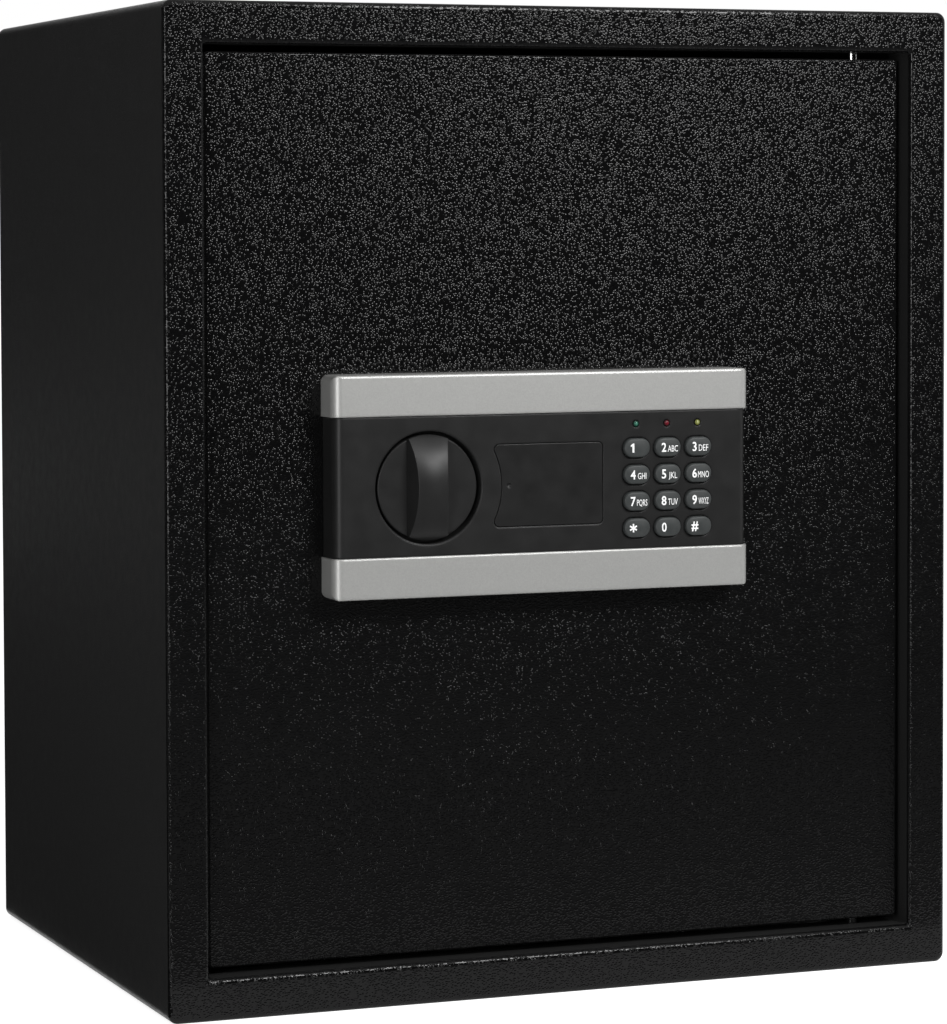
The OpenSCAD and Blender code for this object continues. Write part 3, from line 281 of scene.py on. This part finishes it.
def makeLamp(name, look, shape):
    material = makeFinish(name + "Lens", {"color": look["rim"], "accent": look["rim"], **shape["lens"]})
    tree = material.node_tree
    low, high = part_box(name)
    middle = (low + high) / 2
    place = addNode(tree, "TexCoord").outputs["Object"]
    centred = addNode(tree, "Mapping", {"Vector": place, "Location": (-middle.x, 0, -middle.z)})
    flat = addNode(tree, "VectorMath", {0: centred.outputs[0], 1: (mm, 0, mm)}, operation="MULTIPLY")
    reach = addNode(tree, "VectorMath", {0: flat.outputs[0]}, operation="LENGTH")
    fade = remap(tree, reach.outputs["Value"], 0.0, 1.0, 0.0, shape["radius"])
    ramp = addNode(tree, "ValToRGB", {"Fac": fade})
    # painted highlight in the middle, the lens's own tint, and painted shade at the edge
    colors = [look["highlightCore"], look["rim"], look["rim"], shape["ring"]]
    for band in shape["bands"][1:3]:
        ramp.color_ramp.elements.new(band)
    for element, band, color in zip(ramp.color_ramp.elements, shape["bands"], colors):
        element.position, element.color = band, (*color, 1)
    tree.links.new(ramp.outputs["Color"], tree.nodes["Principled BSDF"].inputs["Base Color"])
    return material


for name, look in lampLooks.items():
    finishes[name] = makeLamp(name, look, lampShape)


# The pebbled coat of the frame and the door lies smoother round an edge and is duller in the gap between
# them, where its colour is also paler: painted light for the light that reaches into the gap. Each change
# goes by the depth along Y, in metres, from where it starts to where it is full.
def makeEdgedCoat(name, look):
    material = makeFinish(name, look)
    tree = material.node_tree
    shader = tree.nodes["Principled BSDF"]
    depth = alongAxis(tree, "Y")
    hollow = remap(tree, depth, 0.0, 1.0, *look["hollowFrom"])
    tint, rough = [shader.inputs[socket].links[0].from_socket for socket in ("Base Color", "Roughness")]
    # painted light: the gap's paler colour is mixed in by depth
    coat = addNode(tree, "Mix", {"Factor": hollow}, data_type="RGBA")
    tree.links.new(tint, coat.inputs["A"])
    coat.inputs["B"].default_value = (*look["gapPaintedLight"], 1)
    tree.links.new(coat.outputs["Result"], shader.inputs["Base Color"])
    dull = addNode(tree, "Math", {0: hollow, 1: look["hollowRough"]}, operation="MULTIPLY").outputs[0]
    blend = addNode(tree, "Math", {0: rough, 1: dull}, operation="MAXIMUM").outputs[0]
    tree.links.new(blend, shader.inputs["Roughness"])
    bump = shader.inputs["Normal"].links[0].from_node
    tree.links.new(remap(tree, depth, 1.0, look["edgeRelief"], *look["edgeFrom"]), bump.inputs["Strength"])
    return material


# the front's coat is the darker of two painted copies of the one black coat; the side's copy is painted
# lighter
frameCoat = {"color": (0.0024, 0.0024, 0.0025), "accent": (0.0030, 0.0030, 0.0031), "mottle": 6,
             "roughness": (0.09, 0.12), "relief": (pebblePattern, 0.86, 0.153),
             "shader": {"Specular IOR Level": 0.155},
             # the hollow colours, here and in the door's coat, are painted light for the light that reaches
             # into the gap
             "hollowFrom": (-0.1284, -0.1272), "gapPaintedLight": (0.015, 0.015, 0.015), "hollowRough": 0.5,
             "edgeFrom": (-0.1299, -0.1292), "edgeRelief": 0.3}
doorCoat = {**frameCoat, "hollowFrom": (-0.1218, -0.1214), "gapPaintedLight": (0.035, 0.035, 0.035),
            "edgeFrom": (-0.1219, -0.1215)}
finishes["frameCoat"] = makeEdgedCoat("frameCoat", frameCoat)
finishes["doorCoat"] = makeEdgedCoat("doorCoat", doorCoat)


# The hinge pins are bright steel above the door, and dark and not metallic below a height in metres.
def makePin(name, look):
    material = makeFinish(name, look)
    tree = material.node_tree
    shader = tree.nodes["Principled BSDF"]
    aboveMask = addNode(tree, "Math", {0: alongAxis(tree, "Z"), 1: look["darkBelow"]},
                   operation="GREATER_THAN").outputs[0]
    tint = shader.inputs["Base Color"].links[0].from_socket
    coat = addNode(tree, "Mix", {"Factor": aboveMask}, data_type="RGBA")
    coat.inputs["A"].default_value = (*look["lowColor"], 1)
    tree.links.new(tint, coat.inputs["B"])
    tree.links.new(coat.outputs["Result"], shader.inputs["Base Color"])
    tree.links.new(aboveMask, shader.inputs["Metallic"])
    return material


pinLook = {**finishLooks["brightSteel"], "lowColor": (0.006, 0.006, 0.006), "darkBelow": 0.2}
finishes["pinSteel"] = makePin("pinSteel", pinLook)

finishOf = {
    "frameCoat": ["front_frame"],
    "doorCoat": ["door_plate"],
    "litSideCoat": ["cabinet_shell", "back_panel"],
    "innerPaint": ["hinge_plates", "shelf_brackets", "shelf", "door_rim", "door_cover", "hinge_blocks"],
    "matFelt": ["floor_mat"],
    "zincSteel": ["cover_screws", "panel_screws", "barrel_nut", "lock_cam", "crank", "bolt_carriage",
                  "bolt_screws", "bolt_guide", "guide_studs", "solenoid_frame", "knob_spindle",
                  "plunger_spring"],
    "pinSteel": ["hinge_pins"],
    "brightSteel": ["bolts", "lock_barrel", "blocker_plunger"],
    "panelPlastic": ["panel_housing"],
    "capSilver": ["trim_top", "trim_bottom"],
    "coverPlastic": ["keyhole_cover"],
    "knobPlastic": ["knob"],
    "matRubber": ["keypad_mat"],
    "boardGreen": ["circuit_board"],
    "brassMetal": ["lock_plug", "knob_bush"],
    "coilCopper": ["solenoid_coil"],
    "boxPlastic": ["battery_box", "battery_lid", "reset_switch"],
    "cellWrap": ["batteries"],
    "resetRed": ["reset_button"],
    "keyPlastic": [name for name in nodes if name.startswith("key_")],
    **{lamp: [lamp] for lamp in lampLooks},
}
for finish, names in finishOf.items():
    for name in names:
        nodes[name].data.materials.clear()
        nodes[name].data.materials.append(finishes[finish])
print("finishes made:", len(finishes))


# The cabinet front. The frame's section, as distance outward from the opening's flange and depth, in mm, is
# carried round the opening. Its corner radius grows from the opening's to the cabinet's. The outer edge is a
# quarter of an ellipse, and a short land lies beside each round.
frontFrame = {"border": 17.2, "sheet": 2.0, "bend": 2.2, "edge": (2.2, 1.6), "seam": 0.4, "land": 0.2,
              "openingCorner": 1.2, "cabinetCorner": 4.0}


def makeFrontFrame(look):
    low, high = [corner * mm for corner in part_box("front_frame")]
    front, back = low.y, high.y
    border, sheet, bend = look["border"], look["sheet"], look["bend"]
    edge, seam, land = look["edge"], look["seam"], look["land"]
    section = np.concatenate([
        [[0, back]],
        arc(bend, front + bend, bend, 180, 270, steps=9),
        [[bend + land, front], [border - edge[0] - land, front]],
        arc(0, 0, 1, -90, 0, steps=9) * edge + (border - edge[0], front + edge[1]),
        arc(border - seam, front + sheet - seam, seam, 0, 90, steps=4),
        arc(bend, front + bend, bend - sheet, 270, 180, steps=5),
        [[sheet, back]],
    ])
    out, depth = section.T
    halfW, halfH = (high.x - low.x) / 2 - border + out, (high.z - low.z) / 2 - border + out
    corner = look["openingCorner"] + (look["cabinetCorner"] - look["openingCorner"]) * out / border
    verts, faces = stackOutlines(np.stack([halfW, halfH, corner, depth], -1),
                                 (0, (low.z + high.z) / 2), loopRows=True)
    addPiece("frame_face", verts, faces, finishes["frameCoat"], "cabinet", swaps=["front_frame"])


makeFrontFrame(frontFrame)
print("cabinet front made")


# The knob, in mm. Its disc is a section turned about the knob's axis, from a small hub to the rim. The fin is
# a ridge across it: at height z along the ridge its crest stands sqrt(R^2 - z^2) - (R - rise) above the
# disc, falls a little to both sides by a parabola, and its flanks lean inward by a fixed slope. The fin's
# ends follow the disc's rim, its foot is sunk into the disc, and a bevel rounds its crest.
knobLook = {"radius": 21.7, "thickness": 4.3, "rimRound": 0.7, "land": 0.2, "hub": 0.3, "turnSteps": 96,
            "rise": 8.19, "crown": 0.8, "foot": 9.0, "sink": 0.6, "slope": 0.3587,
            "alongSteps": 49, "acrossSteps": 7, "rounds": 6,
            "crestRound": 1.1, "crestSteps": 4, "crestAngle": 45}


def makeKnob(look):
    low, high = [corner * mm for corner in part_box("knob")]
    centreX, centreZ = (low.x + high.x) / 2, (low.z + high.z) / 2
    back, radius, rise = high.y, look["radius"], look["rise"]
    face, rim, hub = back - look["thickness"], look["rimRound"], look["hub"]
    section = np.concatenate([
        [[hub, face], [radius - rim - look["land"], face]],
        arc(radius - rim, face + rim, rim, -90, 0, steps=7),
        [[radius, back], [hub, back]],
    ])
    turn = np.linspace(0, 2 * np.pi, look["turnSteps"], endpoint=False)[None, :]
    reach, depth = section[:, :1], section[:, 1:]
    disc = np.stack([centreX + reach * np.cos(turn), depth + 0 * turn, centreZ + reach * np.sin(turn)], -1)
    faces = gridFaces(*disc.shape[:2]) + endFaces(*disc.shape[:2])
    verts = disc.reshape(-1, 3)

    bigR = (radius ** 2 + rise ** 2) / (2 * rise)
    # across the fin: foot to crest on one side, over the crest, and down to the other foot
    steps = look["acrossSteps"]
    share = np.concatenate([np.linspace(0, 1, steps), np.ones(steps), np.linspace(1, 0, steps)])[None, :]
    side = np.concatenate([-np.ones(steps), np.linspace(-1, 1, steps + 2)[1:-1], np.ones(steps)])[None, :]
    along = np.linspace(-1, 1, look["alongSteps"])[:, None]
    z = along * radius * np.ones_like(share)
    # the height goes by z and z by the height, so a few rounds settle both
    for settling in range(look["rounds"]):
        crest = np.maximum(np.sqrt(np.maximum(bigR ** 2 - z ** 2, 0)) - (bigR - rise), 0.0)
        height = share * (crest - look["crown"] * crest / rise * side ** 2)
        x = side * (look["foot"] - look["slope"] * height)
        z = along * np.sqrt(radius ** 2 - x ** 2)
    sunk = np.where(share == 0, look["sink"], 0.0)
    fin = np.stack([centreX + x, face - height + sunk, centreZ + z], -1)
    faces += gridFaces(*fin.shape[:2], first=len(verts)) + endFaces(*fin.shape[:2], first=len(verts))
    verts = np.concatenate([verts, fin.reshape(-1, 3)]) / mm
    piece = addPiece("knob_disc", verts, faces, finishes["knobPlastic"], "knob", sharp=40, swaps=["knob"])
    bevel = piece.modifiers.new("crest", "BEVEL")
    bevel.width, bevel.segments = look["crestRound"] / mm, look["crestSteps"]
    bevel.angle_limit = radians(look["crestAngle"])
    bevel.use_clamp_overlap, bevel.harden_normals = True, True


makeKnob(knobLook)
print("knob made")


# A key is a stack of pill outlines: a flange behind the wall, upright sides, a round edge and a crown with a
# small flat middle. A pill's corner radius is just short of its half height.
keyLook = {"halfW": 5.9, "halfH": 4.0, "edge": 1.0, "crown": 0.3, "flange": 0.8, "middle": 0.15,
           "short": 0.02}
# A legend is a digit and, right of it, letters squeezed to a width in mm. A sign without letters has its own
# place in x. The one's flag starts at a share of the stem, and its foot is some flags below the top.
legendLook = {"proud": 0.03, "sink": 0.1, "narrow": 0.86, "tail": 0.6, "curveSteps": 3, "weld": 0.001,
              "digit": 3.75, "digitWeight": 0.016, "digitX": -2.2, "aloneX": -2.1,
              "letters": 2.6, "lettersWeight": 0.0, "lettersX": 1.85,
              "starArm": 1.75, "starWidth": 0.66,
              "stem": 0.84, "flag": 0.72, "flagTop": 0.3, "flagFoot": 1.45}
legends = {"key_1": ("1", "", 0), "key_2": ("2", "ABC", 4.6), "key_3": ("3", "DEF", 4.3),
           "key_4": ("4", "GHI", 3.8), "key_5": ("5", "JKL", 3.8), "key_6": ("6", "MNO", 5.0),
           "key_7": ("7", "PQRS", 4.7), "key_8": ("8", "TUV", 4.4), "key_9": ("9", "WXYZ", 4.6),
           "key_star": ("*", "", 0), "key_0": ("0", "", 0), "key_hash": ("#", "", 0)}


def makeKey(name, look):
    low, high = [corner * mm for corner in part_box(name)]
    front, back = low.y, high.y
    flangeFront = back - look["flange"]
    edge = arc(0, 0, look["edge"], 0, 90)
    # rows hold the inset from the key's outline and the depth
    rows = [[-look["flange"], back], [-look["flange"], flangeFront], [0, flangeFront]]
    rows += [[look["edge"] - x, front + look["crown"] + look["edge"] - y] for x, y in edge]
    inset = np.linspace(look["edge"], look["halfH"] - look["middle"], 6)[1:]
    part = (inset - look["edge"]) / (look["halfH"] - look["edge"])
    rows += np.stack([inset, front + look["crown"] * (1 - part) ** 2], -1).tolist()
    inset, depth = np.array(rows).T
    halfW, halfH = look["halfW"] - inset, look["halfH"] - inset
    verts, faces = stackOutlines(np.stack([halfW, halfH, halfH - look["short"], depth], -1),
                                 ((low.x + high.x) / 2, (low.z + high.z) / 2), cornerSteps=9)
    addPiece(name + "_cap", verts, faces, finishes["keyPlastic"], name, swaps=[name])


# Words made a mesh, scaled to a height above their baseline and a width in mm, turned upright to face -Y,
# with their middle at x and their baseline at z. Without a width the letters are narrowed by the look's
# share. What hangs below the baseline is shortened.
def wordMesh(text, height, width, weight, x, y, z, look):
    curve = bpy.data.curves.new(text, "FONT")
    curve.body, curve.size, curve.offset, curve.resolution_u = text, 1.0, weight, look["curveSteps"]
    holder = linkObject(text, curve)
    bpy.context.view_layer.update()
    mesh = bpy.data.meshes.new_from_object(holder.evaluated_get(bpy.context.evaluated_depsgraph_get()))
    bpy.data.objects.remove(holder)
    flat = np.zeros(len(mesh.vertices) * 3)
    mesh.vertices.foreach_get("co", flat)
    flat = flat.reshape(-1, 3)
    flat[:, 1] = np.where(flat[:, 1] < 0, flat[:, 1] * look["tail"], flat[:, 1])
    left, right = flat[:, 0].min(), flat[:, 0].max()
    tall = height / flat[:, 1].max()
    wide = width / (right - left) if width else tall * look["narrow"]
    front, back = y - look["proud"], y + look["sink"]
    spread = x + (flat[:, 0] - (left + right) / 2) * wide
    upright = np.stack([spread, np.full(len(flat), front), z + flat[:, 1] * tall], -1) / mm
    mesh.vertices.foreach_set("co", upright.ravel())
    form = bmesh.new()
    form.from_mesh(mesh)
    bmesh.ops.remove_doubles(form, verts=form.verts, dist=look["weld"] / mm)
    grown = bmesh.ops.extrude_face_region(form, geom=form.faces[:])["geom"]
    moved = [item for item in grown if isinstance(item, bmesh.types.BMVert)]
    bmesh.ops.translate(form, verts=moved, vec=(0, (back - front) / mm, 0))
    bmesh.ops.recalc_face_normals(form, faces=form.faces)
    form.to_mesh(mesh)
    form.free()
    return mesh


# A flat outline in x and z, given a thickness along Y.
def outlineMesh(outline, y, look):
    levels = [np.insert(outline, 1, depth, axis=1) for depth in (y - look["proud"], y + look["sink"])]
    faces = endFaces(2, len(outline)) + gridFaces(2, len(outline))
    mesh = bpy.data.meshes.new("sign")
    mesh.from_pydata((np.concatenate(levels) / mm).tolist(), [], faces)
    return mesh


# Six arms about x, z: each arm's two outer corners, then the notch after it.
def starOutline(x, z, look):
    arm, half = look["starArm"], look["starWidth"] / 2
    lean, notch = np.arctan2(half, arm), np.radians(30)
    turn = np.radians(60) * np.arange(6)[:, None] + np.radians(90) + np.array([[-lean, lean, notch]])
    tip = np.hypot(arm, half)
    reach = np.broadcast_to(np.array([[tip, tip, 2 * half]]), turn.shape)
    return np.stack([x + reach * np.cos(turn), z + reach * np.sin(turn)], -1).reshape(-1, 2)


# An upright stem about x with a flag at its top left.
def oneOutline(x, foot, look):
    half, flag, top = look["stem"] / 2, look["flag"], look["digit"]
    corners = [[-half, 0], [half, 0], [half, top], [-half * look["flagTop"], top],
               [-half - flag, top - flag], [-half - flag, top - 2 * flag],
               [-half, top - look["flagFoot"] * flag]]
    return np.array(corners) + (x, foot)


def makeLegend(name, digit, letters, width, look):
    low, high = [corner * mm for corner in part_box(name)]
    x, front, foot = (low.x + high.x) / 2, low.y, (low.z + high.z - look["digit"]) / 2
    heavy, alone = look["digitWeight"], x + look["aloneX"]
    if letters:
        parts = [wordMesh(digit, look["digit"], 0, heavy, x + look["digitX"], front, foot, look),
                 wordMesh(letters, look["letters"], width, look["lettersWeight"], x + look["lettersX"],
                          front, foot, look)]
    elif digit == "*":
        parts = [outlineMesh(starOutline(alone, (low.z + high.z) / 2, look), front, look)]
    elif digit == "1":
        parts = [outlineMesh(oneOutline(alone, foot, look), front, look)]
    else:
        parts = [wordMesh(digit, look["digit"], 0, heavy, alone, front, foot, look)]
    form = bmesh.new()
    for part in parts:
        form.from_mesh(part)
    bmesh.ops.recalc_face_normals(form, faces=form.faces)
    mesh = bpy.data.meshes.new(name + "_legend")
    form.to_mesh(mesh)
    form.free()
    dressMesh(name + "_legend", mesh, finishes["legendInk"], name, sharp=30)


for name, (digit, letters, width) in legends.items():
    makeKey(name, keyLook)
    makeLegend(name, digit, letters, width, legendLook)
print("keys and legends made:", len(legends))


stageLook = {"floor": (12.0, 12.0), "color": (0.86, 0.86, 0.86), "roughness": 0.9, "glow": 0.78,
             "ambient": 0.4}
# The first lamp lights the front from above, the second the frame's edges from the left. Sizes and places
# are in metres and power is in watts.
lightLook = {"place": (0.30, -0.80, 0.69), "aim": (0.0, -0.13, 0.36), "width": 0.34, "height": 0.24,
             "power": 7.0}
edgeLook = {"place": (-1.09, -1.27, 0.37), "aim": (-0.1, -0.13, 0.25), "width": 0.36, "height": 0.66,
            "power": 8.0}
# Dark cards, three upright and two on the floor, are where the front, the left side and the edges would
# mirror the white room. A card is a flat sheet of a size in metres, turned by angles in degrees.
cardLooks = {
    "card_front": {"place": (0.9, -2.67, 0.75), "turn": (90, 0, 0), "size": (5.0, 1.5), "grey": 0.004},
    "card_floor": {"place": (0.9, -1.43, 0.002), "turn": (0, 0, 0), "size": (5.0, 2.47), "grey": 0.34},
    "card_left": {"place": (-1.6, 2.6, 0.75), "turn": (90, 0, 20), "size": (4.2, 1.5), "grey": 0.03},
    "card_edge": {"place": (-1.86, -0.46, 0.75), "turn": (90, 0, 100.9), "size": (2.06, 1.5), "grey": 0.02},
    "card_side": {"place": (-1.2755, 1.2, 0.002), "turn": (0, 0, 0), "size": (2.199, 2.7), "grey": 0.03},
}
cameraLook = {"place": (-0.6191, -1.6016, 0.3258), "yaw": 21.369, "pitch": -2.513, "roll": -0.187,
              "lens": 135.60, "sensor": 36, "shiftY": -0.129}


# 1 for rays that see the floor or the sky straight, in a gloss or through glass.
def seenFactor(tree):
    path = addNode(tree, "LightPath").outputs
    both = addNode(tree, "Math", {0: path["Is Camera Ray"], 1: path["Is Glossy Ray"]}, operation="MAXIMUM")
    return addNode(tree, "Math", {0: both.outputs[0], 1: path["Is Transmission Ray"]},
                   operation="MAXIMUM").outputs[0]


# A flat sheet round the origin, of a width along X and a length along Y in metres.
def sheetMesh(name, size):
    corners = np.array([[-1, -1, 0], [1, -1, 0], [1, 1, 0], [-1, 1, 0]]) * (*size, 0) / 2
    mesh = bpy.data.meshes.new(name)
    mesh.from_pydata(corners.tolist(), [], [(0, 1, 2, 3)])
    return mesh


def makeStage(look):
    mesh = sheetMesh("studio_floor", look["floor"])
    floor = linkObject("studio_floor", mesh)
    material, shader = newMaterial("floorPale")
    tree = material.node_tree
    shader.inputs["Base Color"].default_value = (*look["color"], 1)
    shader.inputs["Roughness"].default_value = look["roughness"]
    shader.inputs["Specular IOR Level"].default_value = 0.0
    shader.inputs["Emission Color"].default_value = (1, 1, 1, 1)
    glow = remap(tree, seenFactor(tree), 0.0, look["glow"])
    tree.links.new(glow, shader.inputs["Emission Strength"])
    mesh.materials.append(material)

    world = bpy.data.worlds.new("studio")
    bpy.context.scene.world = world
    world.use_nodes = True
    tree = world.node_tree
    sky = tree.nodes["Background"]
    sky.inputs["Color"].default_value = (1, 1, 1, 1)
    tree.links.new(remap(tree, seenFactor(tree), look["ambient"], 1.0), sky.inputs["Strength"])


def addAreaLight(name, look):
    light = bpy.data.lights.new(name, "AREA")
    light.shape, light.energy = "RECTANGLE", look["power"]
    light.size, light.size_y = look["width"], look["height"]
    holder = linkObject(name, light)
    holder.location, holder.visible_camera = look["place"], False
    aim = Vector(look["aim"]) - Vector(look["place"])
    holder.rotation_euler = aim.to_track_quat("-Z", "Y").to_euler()


def addCard(name, look):
    mesh = sheetMesh(name, look["size"])
    turned = Euler([radians(angle) for angle in look["turn"]]).to_matrix().to_4x4()
    mesh.transform(Matrix.Translation(look["place"]) @ turned)
    card = linkObject(name, mesh)
    material, shader = newMaterial(name)
    shader.inputs["Base Color"].default_value = (look["grey"], look["grey"], look["grey"], 1)
    shader.inputs["Specular IOR Level"].default_value = 0.0
    mesh.materials.append(material)
    card.visible_camera = card.visible_diffuse = card.visible_shadow = False


def addCamera(look):
    camera = linkObject("camera", bpy.data.cameras.new("camera"))
    camera.data.lens, camera.data.sensor_width = look["lens"], look["sensor"]
    camera.data.shift_y = look["shiftY"]
    turned = Euler((radians(90 + look["pitch"]), 0, radians(-look["yaw"]))).to_matrix()
    rolled = turned @ Matrix.Rotation(radians(look["roll"]), 3, "Z")
    camera.location, camera.rotation_euler = look["place"], rolled.to_euler()
    bpy.context.scene.camera = camera


makeStage(stageLook)
addAreaLight("key_light", lightLook)
addAreaLight("edge_light", edgeLook)
for name, look in cardLooks.items():
    addCard(name, look)
addCamera(cameraLook)
bpy.context.scene.view_settings.view_transform = "Standard"
print("stage, light and camera set")
